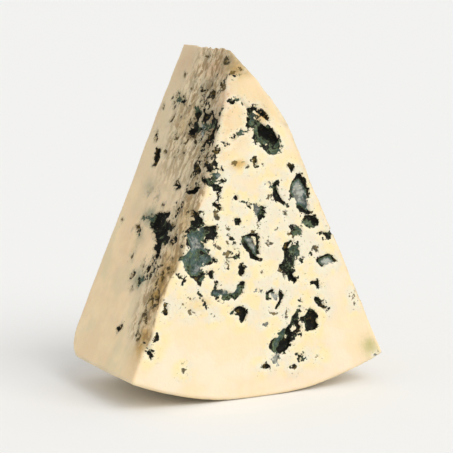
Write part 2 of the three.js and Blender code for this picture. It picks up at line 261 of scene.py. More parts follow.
RIGHT_POCKETS = [
    ([(27.0, 8.0, 0.5), (25.0, 11.0, 0.9), (25.8, 13.4, 0.6)], 1.8, BLACK_MOULD_AND_SHADE),
    ([(38.0, 14.5, 0.5), (34.6, 17.0, 1.0), (32.0, 20.8, 1.6)], 2.4, GREEN),
    ([(32.6, 19.6, 0.8), (29.4, 23.0, 0.9), (29.8, 27.4, 0.6)], 3.2, BLACK_MOULD_AND_SHADE),
    ([(36.0, 21.6, 0.7), (34.2, 23.4, 0.9)], 1.6, SLATE),
    ([(14.2, 24.0, 0.6), (11.6, 28.0, 1.3), (12.4, 31.4, 1.0)], 2.8, GREEN),
    ([(9.4, 31.4, 0.9), (11.6, 33.4, 1.2), (10.4, 36.6, 0.7)], 4.0, BLACK_MOULD_AND_SHADE),
    ([(16.2, 30.4, 0.6), (18.4, 32.0, 0.9), (20.2, 31.0, 0.5)], 1.6, BLACK_MOULD_AND_SHADE),
    ([(21.6, 37.6, 0.5), (23.8, 39.4, 0.8)], 1.2, BLACK_MOULD_AND_SHADE),
    ([(39.8, 36.4, 0.7), (36.4, 39.6, 1.5), (33.2, 41.2, 2.2)], 2.8, TEAL),
    ([(33.6, 43.0, 1.8), (30.4, 46.4, 2.4), (31.4, 49.6, 1.6)], 3.4, SLATE),
    ([(30.8, 42.2, 0.6), (28.2, 45.4, 0.9), (28.4, 49.8, 1.1), (30.8, 53.0, 0.7)], 5.0, BLACK_MOULD_AND_SHADE),
    ([(35.6, 47.2, 0.5), (37.4, 48.6, 0.7)], 1.4, BLACK_MOULD_AND_SHADE),
    ([(18.6, 47.0, 0.9), (16.0, 50.2, 1.7), (17.2, 53.6, 2.2)], 3.4, GREEN),
    ([(14.4, 52.6, 1.1), (13.8, 56.8, 1.8), (16.0, 60.4, 1.6)], 5.0, BLACK_MOULD_AND_SHADE),
    ([(16.8, 60.6, 1.4), (13.6, 63.4, 0.9), (14.0, 67.0, 0.6)], 3.0, GREEN),
    ([(20.6, 52.4, 0.5), (22.0, 56.2, 1.0), (20.8, 58.0, 0.6)], 2.0, BLACK_MOULD_AND_SHADE),
    ([(7.0, 54.6, 0.6), (8.4, 57.0, 0.9)], 1.4, GREY),
    ([(24.8, 62.0, 0.6), (26.6, 63.6, 0.8), (25.4, 65.6, 0.5)], 1.8, BLACK_MOULD_AND_SHADE),
    ([(40.6, 58.8, 0.6), (38.2, 61.6, 1.3), (39.2, 63.8, 0.9)], 2.2, SLATE),
    ([(37.0, 63.4, 0.8), (36.6, 66.6, 1.0), (38.6, 68.6, 0.6)], 3.0, BLACK_MOULD_AND_SHADE),
    ([(8.4, 70.0, 0.6), (10.4, 73.4, 1.2), (13.0, 74.4, 0.8)], 2.2, GREEN),
    ([(13.4, 75.8, 0.9), (16.6, 76.4, 0.6), (18.8, 78.2, 0.9)], 2.6, BLACK_MOULD_AND_SHADE),
    ([(29.0, 71.6, 0.6), (27.4, 74.8, 1.4), (25.6, 77.2, 1.7)], 2.8, GREEN),
    ([(25.0, 79.0, 1.1), (27.0, 82.2, 1.2), (25.4, 84.6, 0.5)], 4.2, BLACK_MOULD_AND_SHADE),
    ([(35.8, 79.4, 0.5), (34.0, 82.4, 0.9)], 1.4, BLACK_MOULD_AND_SHADE),
    ([(14.0, 88.0, 0.6), (15.6, 88.8, 0.4)], 1.0, BLACK_MOULD_AND_SHADE),
]
TIP_POCKETS = [
    ([(-0.2, 6.4, 0.5), (-1.4, 7.2, 0.65)], 1.0, OCHRE),
    ([(1.5, 6.0, 0.4)], 0.6, OCHRE),
    ([(-2.5, 2.8, 0.5)], 0.9, OCHRE),
    ([(-4.2, 9.5, 0.5), (-4.6, 12.0, 0.5)], 0.8, OCHRE),
    ([(-3.3, 16.4, 0.8)], 1.1, BLACK_MOULD_AND_SHADE),
    ([(-2.2, 15.4, 0.4), (-0.6, 15.8, 0.4), (0.9, 17.6, 0.5)], 0.8, GREEN),
    ([(0.8, 17.6, 0.4), (2.0, 19.5, 0.7), (3.4, 18.9, 0.5)], 1.6, BLACK_MOULD_AND_SHADE),
    ([(3.6, 18.8, 0.5), (5.4, 20.8, 0.6), (7.0, 22.8, 0.5)], 1.6, BROWN),
    ([(1.4, 21.4, 0.5), (1.0, 24.6, 0.5)], 1.8, BLACK_MOULD_AND_SHADE),
    ([(2.6, 21.6, 1.0), (3.2, 24.2, 1.5)], 1.3, GREEN),
    ([(4.6, 25.6, 1.1), (6.4, 27.4, 1.8), (8.4, 29.6, 1.5)], 3.2, GREEN),
    ([(5.0, 25.2, 0.9), (7.3, 26.8, 1.4), (8.4, 28.4, 1.0)], 5.0, BLACK_MOULD_AND_SHADE),
    ([(3.2, 26.2, 0.9), (5.6, 30.2, 1.4)], 1.8, GREEN),
    ([(-3.1, 27.4, 0.65), (-4.0, 28.2, 0.5)], 1.1, BLACK_MOULD_AND_SHADE),
    ([(-6.0, 29.4, 0.65)], 1.0, BLACK_MOULD_AND_SHADE),
    ([(-2.4, 27.0, 0.35), (-0.4, 26.0, 0.35), (1.0, 25.2, 0.4)], 0.7, GREEN),
]

# Loose scatters of specks: face, middle, spread across and down, how many, largest half width, tone
SPECK_CLUSTERS = [
    ("wide", (-19.6, 55.5), (5.4, 9.0), 44, 0.55, BLACK_MOULD_AND_SHADE),
    ("wide", (-14.6, 34.6), (4.0, 4.0), 14, 0.5, BLACK_MOULD_AND_SHADE),
    ("wide", (14.0, 42.0), (3.6, 6.0), 12, 0.45, BLACK_MOULD_AND_SHADE),
    ("wide", (10.0, 60.5), (3.4, 5.5), 7, 0.45, BLACK_MOULD_AND_SHADE),
    ("wide", (8.0, 84.5), (3.6, 4.4), 8, 0.45, BLACK_MOULD_AND_SHADE),
    ("tip", (5.0, 26.5), (3.6, 4.4), 8, 0.45, BLACK_MOULD_AND_SHADE),
    ("wide", (-10.2, 56.5), (2.6, 5.0), 16, 0.38, OCHRE),
    ("wide", (-9.5, 57.5), (2.6, 4.0), 8, 0.4, BLACK_MOULD_AND_SHADE),
    ("wide", (-20.0, 71.0), (4.5, 2.6), 8, 0.4, OCHRE),
    ("wide", (2.0, 50.0), (15.0, 16.0), 14, 0.4, OCHRE),
    ("wide", (6.0, 77.0), (14.0, 9.0), 8, 0.4, OCHRE),
    ("left", (21.0, 14.0), (5.0, 4.5), 22, 0.5, BROWN),
    ("left", (36.0, 22.0), (6.0, 10.0), 8, 0.45, OCHRE),
    ("left", (15.0, 22.0), (6.0, 7.0), 36, 0.55, BLACK_MOULD_AND_SHADE),
    ("left", (8.0, 34.0), (4.5, 8.0), 30, 0.5, BROWN),
    ("left", (25.0, 30.0), (11.0, 16.0), 12, 0.45, OCHRE),
    ("left", (9.0, 56.0), (4.0, 11.0), 24, 0.45, BROWN),
    ("left", (13.0, 68.0), (5.0, 5.0), 14, 0.45, BROWN),
    ("left", (5.0, 74.0), (3.0, 12.0), 22, 0.5, OCHRE),
    ("right", (22.0, 26.0), (10.0, 14.0), 40, 0.6, BLACK_MOULD_AND_SHADE),
    ("right", (26.0, 56.0), (11.0, 22.0), 50, 0.5, BLACK_MOULD_AND_SHADE),
    ("right", (20.0, 60.0), (14.0, 26.0), 30, 0.5, OCHRE),
]

# Stains that spread through the paste without opening it, by kind, and beside the ridge near the tip
# painted shade of its soft edge. Each has its face, middle, spread across and down, and strength.
STAINS_AND_RIDGE_SHADE = {
    "rose_and_ridge_shade": [
        # Beside the ridge near the tip: painted shade of the ridge's soft edge, in the rose tint
        ("left", (9.0, 15.0), (4.0, 9.0), 0.9),
        ("left", (20.0, 6.0), (8.0, 3.5), 0.8),
        ("left", (42.0, 6.0), (8.0, 6.0), 0.5),
        ("left", (30.0, 62.0), (12.0, 20.0), 0.25),
        ("wide", (8.0, 96.0), (18.0, 3.0), 0.2),
        # Beside the ridge near the tip: painted shade of the ridge's soft edge, in the rose tint
        ("tip", (-4.6, 14.0), (1.8, 8.0), 0.9),
        ("right", (24.0, 10.0), (10.0, 6.0), 0.6),
    ],
    "ochre": [
        ("left", (4.5, 71.0), (4.5, 11.0), 1.2),
        ("left", (3.0, 88.0), (3.5, 7.0), 0.9),
        ("left", (6.0, 52.0), (5.0, 7.0), 0.6),
        ("left", (28.0, 23.0), (5.0, 5.0), 0.4),
        ("left", (10.0, 5.0), (6.0, 3.0), 0.8),
        ("tip", (-0.6, 6.0), (3.5, 3.0), 0.8),
        ("tip", (5.4, 21.6), (1.8, 2.0), 0.9),
        ("wide", (-6.0, 31.8), (2.8, 1.3), 0.9),
        ("wide", (-20.0, 71.0), (6.0, 2.6), 0.35),
        ("right", (6.0, 62.0), (4.0, 16.0), 0.6),
    ],
    "olive": [
        ("wide", (36.6, 89.0), (3.4, 3.4), 1.0),
        ("wide", (-9.0, 58.0), (3.0, 5.0), 0.25),
        ("left", (37.0, 16.5), (3.5, 1.6), 0.7),
        ("left", (30.5, 62.5), (2.0, 4.0), 0.35),
        ("left", (8.0, 80.0), (2.0, 5.0), 0.4),
    ],
    "sage": [
        ("left", (27.0, 53.6), (5.0, 3.2), 1.2),
        ("left", (28.5, 60.0), (2.6, 3.6), 0.5),
        ("left", (18.5, 72.0), (5.0, 3.2), 1.1),
        ("left", (35.0, 45.0), (4.5, 2.6), 0.5),
        ("left", (10.0, 26.0), (3.0, 6.0), 0.8),
    ],
    "grey": [
        ("left", (16.0, 23.0), (8.0, 6.0), 0.55),
        ("left", (10.0, 29.0), (4.0, 7.0), 0.5),
        ("left", (23.0, 12.5), (4.0, 2.5), 0.9),
        ("left", (9.0, 41.0), (8.0, 5.0), 0.3),
        ("left", (12.5, 56.0), (4.0, 4.0), 0.7),
        ("right", (18.0, 30.0), (8.0, 12.0), 0.7),
        ("right", (24.0, 60.0), (10.0, 12.0), 0.5),
    ],
}

# ------------------------ the grid
axes = [
    np.arange(lowest[i] - MARGIN, highest[i] + MARGIN + STEP, STEP, dtype=np.float32)
    for i in range(3)
]
X, Y, Z = axes[0][:, None, None], axes[1][None, :, None], axes[2][None, None, :]


def smooth(t):
    t = np.clip(t, 0.0, 1.0)
    return t * t * (3 - 2 * t)


def fade(value, start, end):
    """0 below start, 1 above end, smooth between; the other way round if start is above end."""
    return smooth((value - start) / (end - start))


def on_axis(values, axis):
    """A row of numbers shaped to run along one axis of the grid."""
    shape = [1, 1, 1]
    shape[axis] = -1
    return values.reshape(shape)


def grid_noise(seed, cells):
    """Smooth noise over the whole grid, about -1 to 1; `cells` is its grain along x, y and z in mm."""
    places = [(axis - axis[0]) / cell for axis, cell in zip(axes, cells)]
    counts = [int(place[-1]) + 5 for place in places]
    values = np.random.default_rng(seed).uniform(-1.0, 1.0, counts).astype(np.float32)
    for axis, place in enumerate(places):
        first = np.floor(place).astype(int)
        t = (place - first).astype(np.float32)
        weights = (
            (1 - t) ** 3 / 6,
            (3 * t**3 - 6 * t**2 + 4) / 6,
            (-3 * t**3 + 3 * t**2 + 3 * t + 1) / 6,
            t**3 / 6,
        )
        values = sum(
            np.take(values, first + k, axis=axis) * on_axis(weight, axis)
            for k, weight in enumerate(weights)
        )
    return values * (0.5 / values.std())


def sheet_noise(seed, u, v):
    """Smooth noise from -1 to 1 at places on a sheet, given in grains."""
    size = 256
    table = np.random.default_rng(seed).uniform(-1.0, 1.0, (size, size)).astype(np.float32)
    u, v = np.broadcast_arrays(u, v)
    iu, iv = np.floor(u).astype(int), np.floor(v).astype(int)
    tu, tv = smooth(u - iu), smooth(v - iv)

    def corner(step_u, step_v):
        return table[(iu + step_u) % size, (iv + step_v) % size]

    near = corner(0, 0) * (1 - tu) + corner(1, 0) * tu
    far = corner(0, 1) * (1 - tu) + corner(1, 1) * tu
    return near * (1 - tv) + far * tv


def meet(a, b, radius):
    """Two half spaces meeting in an edge rounded by about `radius`."""
    near = np.maximum(radius - np.abs(a - b), 0.0)
    return np.maximum(a, b) + near * near / (4 * radius)


# ------------------------ the faces
class Face:
    """A flat face: where it starts, its directions across and down it, and its outward direction."""

    def __init__(self, origin, across, down, out):
        self.origin = np.array(origin, dtype=np.float64)
        self.across, self.down, self.out = (np.array(d, dtype=np.float64) for d in (across, down, out))

    def coordinates(self, x, y, z):
        dx, dy, dz = x - self.origin[0], y - self.origin[1], z - self.origin[2]
        return [dx * d[0] + dy * d[1] + dz * d[2] for d in (self.across, self.down, self.out)]

    def point(self, across, down):
        return self.origin + across * self.across + down * self.down


def tip_face():
    """The plane that the front of the tip broke along, through three points of the wedge's edges."""
    back = np.array((0.0, FRONT + TIP_BREAK_BACK, TIP))
    left = np.array((-TIP_BREAK_LEFT * SIN, FRONT, TIP - TIP_BREAK_LEFT * COS))
    right = np.array((TIP_BREAK_RIGHT * SIN, FRONT, TIP - TIP_BREAK_RIGHT * COS))
    out = np.cross(left - back, right - back)
    out /= np.linalg.norm(out)
    down = (left + right) / 2 - back
    down /= np.linalg.norm(down)
    return Face(back, np.cross(out, down), down, out)


FACES = {
    "wide": Face((0, FRONT, TIP), (1, 0, 0), (0, 0, -1), (0, -1, 0)),
    "left": Face((0, FRONT, TIP), (0, 1, 0), (-SIN, 0, -COS), (-COS, 0, SIN)),
    "right": Face((0, FRONT, TIP), (0, 1, 0), (SIN, 0, -COS), (COS, 0, SIN)),
    "tip": tip_face(),
}


def knife_relief(seed, across, down, streak):
    """How deep a crumbly side cut lies under its plane: soft waves, and streaks along the wedge."""
    waves = 0.35 * sheet_noise(seed, across / 17, down / 23)
    drift = across + 1.8 * sheet_noise(seed + 1, across / 8, down / 9)
    streaks = sheet_noise(seed + 2, drift / 2.4, down / 7.0)
    streaks += 0.5 * sheet_noise(seed + 3, drift / 1.3, down / 3.2)
    crumbs = sheet_noise(seed + 4, across / 1.6, down / 1.7)
    return waves + streak * (0.36 * streaks + 0.22 * crumbs)


def streak_zone(across, down):
    """Where a side cut is torn rather than sliced: beside the wide face and towards the tip."""
    beside = fade(across, 22.0, 6.0)
    upper = fade(down, 62.0, 22.0) * fade(across, 46.0, 26.0)
    return np.clip(0.16 + 0.85 * np.maximum(beside, upper), 0.0, 1.0) * fade(down, 97.0, 84.0)


def uncut_cheese():
    """Signed distance, mm, to the wedge before the mould opened it: negative inside."""
    wide = FRONT - Y + 0.2 * grid_noise(11, (17, 30, 19)) + 0.08 * grid_noise(12, (3, 6, 3))
    sides = []
    for name, seed, tearing in (("left", 21, 1.0), ("right", 31, RIGHT_TEARING)):
        across, down, out = FACES[name].coordinates(X, Y, Z)
        streak = tearing * streak_zone(across, down)
        sides.append(out - PROUD + knife_relief(seed, across, down, streak))
    left, right = sides
    crumbs = fade(Z, TIP - 12, TIP - 4) * 0.2 * grid_noise(42, (1.8, 1.8, 1.8))
    rough = 0.3 * grid_noise(41, (5, 5, 5)) + crumbs
    tip = FACES["tip"].coordinates(X, Y, Z)[2] - PROUD + rough

    reach = np.sqrt(X**2 + (Z - TIP) ** 2)
    from_rim = reach - (WHEEL_RADIUS - RIND_EDGE) + 0.12 * (1 + grid_noise(51, (9, 9, 9)))
    from_back = Y - (BACK - RIND_EDGE) + 0.15 * (1 + grid_noise(52, (14, 14, 14)))
    corner = np.hypot(np.maximum(from_rim, 0), np.maximum(from_back, 0))
    rind = corner + np.minimum(np.maximum(from_rim, from_back), 0) - RIND_EDGE
    rind = rind + 0.05 * (1 + grid_noise(53, (1.8, 1.8, 1.8)))

    crumble = np.clip(grid_noise(61, (3.0, 3.0, 3.0)) + 0.2, 0, 1) * CRUMBLE_DEPTH
    ridge = np.hypot(wide, left)
    left = left + crumble * np.exp(-((ridge / CRUMBLE_REACH) ** 2))
    front = meet(wide, tip, BREAK_EDGE)
    front_edge = CUT_EDGE + CRUMBLED_EDGE * fade(Z, TIP - 9, TIP - 1)
    cut = meet(meet(left, right, TIP_EDGE), front, front_edge)
    return meet(meet(cut, rind, CUT_EDGE), -Z, FOOT_EDGE)


# ------------------------ the mould's pockets
class Mould:
    """What the mould has opened, as two fields over the grid: the gap to the nearest pocket, mm, which is
    negative inside it, and that pocket's tone."""

    REACH = 6.0  # how far from a pocket the gap is known
    COARSE, FINE = 0.5, 0.95  # how far a pocket's outline wanders, in coarse and in fine waves

    def __init__(self, uncut):
        self.uncut = uncut
        self.gap = np.full(uncut.shape, self.REACH, dtype=np.float32)
        self.tone = np.zeros(uncut.shape, dtype=np.float32)
        coarse = [grid_noise(71 + k, (3.4, 3.4, 3.4)) for k in range(2)]
        fine = [grid_noise(81 + k, (1.4, 1.4, 1.4)) for k in range(2)]
        self.warp = [self.COARSE * c + self.FINE * f for c, f in zip(coarse, fine)]

    def block(self, face, path):
        """The part of the grid near a path on a face."""
        corners = np.array([face.point(a, d) for a, d, _ in path])
        reach = max(r for _, _, r in path) + self.REACH
        spans = []
        for k, axis in enumerate(axes):
            first = int((corners[:, k].min() - reach - axis[0]) / STEP)
            last = int((corners[:, k].max() + reach - axis[0]) / STEP) + 2
            spans.append(slice(max(first, 0), min(last, len(axis))))
        return tuple(spans)

    def open(self, face, path, depth, tone):
        """Eats a pocket along a path of (across, down, half width) points on a face."""
        here = self.block(face, path)
        sx, sy, sz = here
        spots = face.coordinates(X[sx], Y[:, sy], Z[:, :, sz])
        wide = max(r for _, _, r in path)
        loose = min(1.0, 0.35 + 0.25 * wide)  # a small pocket wanders less
        across, down = (s + loose * w[here] for s, w in zip(spots, self.warp))
        slack = TIP_SLACK if face is FACES["tip"] else FACE_SLACK
        beyond = np.maximum(np.abs(spots[2]) - slack, 0.0)
        out = (np.abs(self.uncut[here]) + NARROWING * beyond) * (wide / depth)
        gap = np.full(out.shape, self.REACH, dtype=np.float32)
        for start, end in zip(path, path[1:] or path):
            (a0, d0, r0), (a1, d1, r1) = start, end
            length = max((a1 - a0) ** 2 + (d1 - d0) ** 2, 1e-6)
            t = np.clip(((across - a0) * (a1 - a0) + (down - d0) * (d1 - d0)) / length, 0.0, 1.0)
            aside, below = across - a0 - t * (a1 - a0), down - d0 - t * (d1 - d0)
            away = np.sqrt(aside**2 + below**2 + out**2)
            gap = np.minimum(gap, away - (r0 + t * (r1 - r0)))
        nearer = gap < self.gap[here]
        self.tone[here] = np.where(nearer, tone, self.tone[here])
        self.gap[here] = np.minimum(gap, self.gap[here])

    def scatter(self, name, middle, spread, count, largest, tone, seed):
        """Strews small slits round a place on a face; on the side cuts they lie along the wedge."""
        rng = np.random.default_rng(seed)
        for _ in range(count):
            across = middle[0] + spread[0] * rng.normal() * SCATTER
            down = middle[1] + spread[1] * rng.normal() * SCATTER
            half = largest * rng.uniform(0.45, 1.0)
            on_side = name in ("left", "right")
            turn = math.pi / 2 + rng.normal() * 0.25 if on_side else rng.uniform(0, math.pi)
            length = half * rng.uniform(0.2, 2.4)
            ends = [
                (across + s * length * math.cos(turn), down + s * length * math.sin(turn), half)
                for s in (-1, 1)
            ]
            inside = on_side or abs(across) < down * SIN / COS - 1.0
            if inside and down < LOWEST_SPECK:
                self.open(FACES[name], ends, half * rng.uniform(1.0, 2.2), tone)


def eaten_by_mould(uncut):
    """Every pocket, vein and speck, opened in the uncut cheese."""
    mould = Mould(uncut)
    places = {"wide": WIDE_POCKETS, "left": LEFT_POCKETS, "right": RIGHT_POCKETS, "tip": TIP_POCKETS}
    for name, pockets in places.items():
        for path, depth, tone in pockets:
            mould.open(FACES[name], path, depth, tone)
    for seed, (name, middle, spread, count, largest, tone) in enumerate(SPECK_CLUSTERS, 100):
        mould.scatter(name, middle, spread, count, largest, tone, seed)
    return mould


# ------------------------ the skin
def sample(field, points):
    """A grid field's value at points, mm, blended between its eight neighbours."""
    places = [(points[:, k] - axes[k][0]) / STEP for k in range(3)]
    firsts = [np.clip(np.floor(p).astype(int), 0, len(axes[k]) - 2) for k, p in enumerate(places)]
    parts = [p - f for p, f in zip(places, firsts)]
    total = np.zeros(len(points), dtype=np.float32)
    for corner in range(8):
        steps = [(corner >> k) & 1 for k in range(3)]
        weight = np.prod([part if step else 1 - part for part, step in zip(parts, steps)], axis=0)
        total += weight * field[tuple(first + step for first, step in zip(firsts, steps))]
    return total


def face_chart(points, normals):
    """Which face each spot of the skin belongs to: 0 wide, 1 left, 2 right, 3 rim, 4 flat rind. It is the
    one that the spot stands out from most and looks the same way as."""
    looks = 4.0  # mm of distance that facing fully the right way is worth
    x, y, z = points.T
    reach = np.hypot(x, z - TIP)
    distances = [
        FRONT - y,
        FACES["left"].coordinates(x, y, z)[2],
        FACES["right"].coordinates(x, y, z)[2],
        reach - WHEEL_RADIUS,
        y - BACK,
    ]
    outward = [
        -normals[:, 1],
        normals @ FACES["left"].out,
        normals @ FACES["right"].out,
        (normals[:, 0] * x + normals[:, 2] * (z - TIP)) / np.maximum(reach, 1.0),
        normals[:, 1],
    ]
    return np.argmax([d + looks * o for d, o in zip(distances, outward)], axis=0)


def chart_places(points, chart):
    """Each spot's place on a flat map of the five faces, 0 to 1 each way, for the baked textures."""
    x, y, z = points.T
    along = y - FRONT
    left_down = FACES["left"].coordinates(x, y, z)[1]
    right_down = FACES["right"].coordinates(x, y, z)[1]
    turn = np.arctan2(x, TIP - z)
    half = highest[0]
    pad = 4.0  # between the faces on the map
    wide = 2 * half
    deep = BACK - FRONT
    tall = TIP + pad
    u = np.choose(
        chart,
        [
            x + half,
            along,
            deep + pad + along,
            2 * (deep + pad) + along,
            wide + pad + half - x,
        ],
    )
    rim_run = turn * WHEEL_RADIUS
    v = np.choose(chart, [z, tall + left_down, tall + right_down, tall + half + rim_run, z])
    side = 2 * tall + pad
    return (u + pad / 2) / side, (v + pad / 2) / side


def largest_island(points, quads):
    """The biggest connected piece of the skin: a crumb left loose inside a pocket is dropped."""
    island = np.arange(len(points))
    while True:
        joined = island.copy()
        np.minimum.at(joined, quads.ravel(), np.repeat(island[quads].min(axis=1), 4))
        joined = joined[joined]
        if np.array_equal(joined, island):
            break
        island = joined
    of_quad = island[quads[:, 0]]
    kept = quads[of_quad == np.bincount(of_quad).argmax()]
    used, renumbered = np.unique(kept, return_inverse=True)
    return points[used], renumbered.reshape(kept.shape)


def quad_mesh(points, quads):
    """The skin as a smooth Blender mesh."""
    mesh = bpy.data.meshes.new("cheese")
    mesh.vertices.add(len(points))
    mesh.vertices.foreach_set("co", (points / 1000.0).astype(np.float32).ravel())
    mesh.loops.add(quads.size)
    mesh.loops.foreach_set("vertex_index", quads.astype(np.int32).ravel())
    mesh.polygons.add(len(quads))
    mesh.polygons.foreach_set("loop_start", np.arange(0, quads.size, 4, dtype=np.int32))
    mesh.update(calc_edges=True)
    mesh.validate()
    mesh.shade_smooth()
    return mesh


def lay_out(mesh, points, quads):
    """Gives the skin its flat map."""
    corners = points[quads]
    normals = np.cross(corners[:, 2] - corners[:, 0], corners[:, 3] - corners[:, 1])
    normals /= np.maximum(np.linalg.norm(normals, axis=1, keepdims=True), 1e-9)
    chart = np.repeat(face_chart(corners.mean(axis=1), normals), 4)
    u, v = chart_places(points[quads.ravel()], chart)
    layer = mesh.uv_layers.new(name="OFBake")
    layer.data.foreach_set("uv", np.stack([u, v], axis=-1).astype(np.float32).ravel())


def stain_and_shade_amount(stains_and_shade, points, on_face):
    """How strongly each spot is stained, or darkened with painted shade, 0 to 1."""
    amount = np.zeros(len(points))
    for name, middle, spread, strength in stains_and_shade:
        across, down, _ = FACES[name].coordinates(*points.T)
        away = ((across - middle[0]) / spread[0]) ** 2 + ((down - middle[1]) / spread[1]) ** 2
        amount = np.maximum(amount, strength * np.exp(-away) * on_face[name])
    return amount


def skin_facts(points, mould, uncut):
    """What the material needs to know at each point of the skin. Gap and under are in mm; the other
    facts are shares, 0 to 1."""
    x, y, z = points.T
    across, left_down, left_out = FACES["left"].coordinates(x, y, z)
    right_down, right_out = FACES["right"].coordinates(x, y, z)[1:]
    tip_out = FACES["tip"].coordinates(x, y, z)[2]
    wide_out = FRONT - y
    on_left = left_out > right_out

    wander = 0.7 * sheet_noise(91, left_down / 5.0, y / 5.0)
    side_out = np.maximum(left_out, right_out) - np.maximum(wide_out, tip_out)
    side = fade(side_out + wander, -0.7, 0.5)
    torn = side * streak_zone(across, np.where(on_left, left_down, right_down))
    torn *= np.where(on_left, 1 - 0.6 * fade(tip_out, -3.5, -0.5), RIGHT_TEARING)
    broken = (1 - side) * fade(tip_out - wide_out, -1.0, 1.5)
    crown = np.hypot(y - FRONT - 12, 1.8 * np.maximum(TIP - 2 - z, 0))
    rim = WHEEL_RADIUS - np.hypot(x, z - TIP)
    facts = {
        "gap": sample(mould.gap, points),  # to the nearest pocket
        "tone": sample(mould.tone, points),  # of that pocket
        "under": -sample(uncut, points),  # how deep under the uncut surface
        "side": side,  # a side cut, not the front
        "torn": torn,
        "crown": fade(crown, 13.0, 5.0),  # the top of the tip
        "broken": broken,  # the broken face of the tip
        "high": fade(z, 40.0, 85.0),  # up the wedge
        "rind": fade(np.minimum(rim, BACK - y), 1.6, 0.5),
    }
    on_face = {"wide": 1 - side, "left": side * on_left, "right": side * ~on_left, "tip": broken}
    for name, stains_and_shade in STAINS_AND_RIDGE_SHADE.items():
        facts[name] = stain_and_shade_amount(stains_and_shade, points, on_face)
    return facts


def skin_mesh(solid, mould, uncut):
    """The cheese's surface as a Blender mesh, with its facts as attributes."""
    volume = openvdb.FloatGrid(background=MARGIN)
    volume.copyFromArray(solid)
    points, quads = volume.convertToQuads(isovalue=0.0)
    points = points * STEP + np.array([axis[0] for axis in axes])
    points[:, 2] = np.maximum(points[:, 2], 0.0)
    points, quads = largest_island(points, quads)

    mesh = quad_mesh(points, quads)
    lay_out(mesh, points, quads)
    for name, values in skin_facts(points, mould, uncut).items():
        attribute = mesh.attributes.new(name, "FLOAT", "POINT")
        attribute.data.foreach_set("value", np.asarray(values, dtype=np.float32))
    return mesh


def carve_cheese():
    """The wedge with its pockets open, as a mesh."""
    uncut = uncut_cheese().astype(np.float32)
    mould = eaten_by_mould(uncut)
    solid = np.maximum(uncut, -mould.gap)
    return skin_mesh(solid, mould, uncut)


# ------------------------ colours
def linear(value):
    """A screen value, 0 to 255, as the linear value that the shader works in."""
    return ((value / 255 + 0.055) / 1.055) ** 2.4 if value > 10 else value / 255 / 12.92


def srgb(r, g, b):
    """A colour given as screen values."""
    return (linear(r), linear(g), linear(b), 1.0)


# Paste: two tints of the plain wide face, two of the moist paste among the veins, and the broken tip's
# tan, partly painted shade
IVORY, PEACH = srgb(240, 222, 195), srgb(241, 217, 180)
WHEY, BUTTER = srgb(226, 218, 194), srgb(240, 220, 164)
BROKEN_PASTE_AND_SHADE = srgb(230, 204, 158)

# Side cuts: two tints of sliced paste, its greenish and its upper tint, and two tints where it is torn
CREAM, BUFF = srgb(251, 226, 182), srgb(243, 216, 174)
GREENISH, UPPER = srgb(222, 210, 170), srgb(208, 192, 160)
TORN_LIGHT, TORN_DARK = srgb(240, 220, 184), srgb(218, 202, 166)
STREAK = srgb(148, 118, 72)
CRUST = srgb(170, 146, 104)

# The wheel's flat rind and rim: two tints, a pale bloom and small pits
RIND_LIGHT, RIND_DARK = srgb(240, 221, 184), srgb(224, 203, 165)
RIND_BLOOM = srgb(214, 206, 184)
RIND_PIT = srgb(176, 150, 108)

STAIN_AND_SHADE_COLOURS = {
    # Pinkish tint of the paste, and beside the ridge near the tip painted shade of its soft edge
    "rose_and_ridge_shade": srgb(214, 174, 136),
    "ochre": srgb(196, 154, 78),
    "olive": srgb(194, 184, 132),
    "sage": srgb(150, 152, 124),
    "grey": srgb(150, 144, 116),
}

# Mould, from ochre through brown, black, green, teal and slate to grey; its black is dark mould and
# painted shadow together
MOULD_COLOURS = [
    (0.0, srgb(112, 92, 42)),
    (0.08, srgb(62, 52, 24)),
    (0.16, srgb(22, 19, 9)),
    (0.22, srgb(10, 10, 5)),
    (0.34, srgb(12, 14, 8)),
    (0.40, srgb(38, 44, 27)),
    (0.48, srgb(102, 113, 80)),
    (0.6, srgb(60, 82, 72)),
    (0.75, srgb(84, 101, 96)),
    (0.87, srgb(128, 131, 126)),
    (1.0, srgb(160, 162, 152)),
]
MOULD_BLOOM = srgb(148, 156, 134)
# Painted shade inside a pocket: dark just inside its mouth, and darker still at the bottom of a deep
# pocket
MOULD_RIM_SHADE = srgb(24, 28, 16)  # just inside a pocket's mouth
MOULD_DEPTH_SHADE = srgb(8, 9, 5)  # at the bottom of a deep pocket

# Round a pocket: bleached paste, and on the side cuts a smudge; between pockets, small specks
HALO = srgb(232, 228, 206)
SMUDGE = srgb(138, 124, 90)
SPECK = srgb(104, 104, 66)


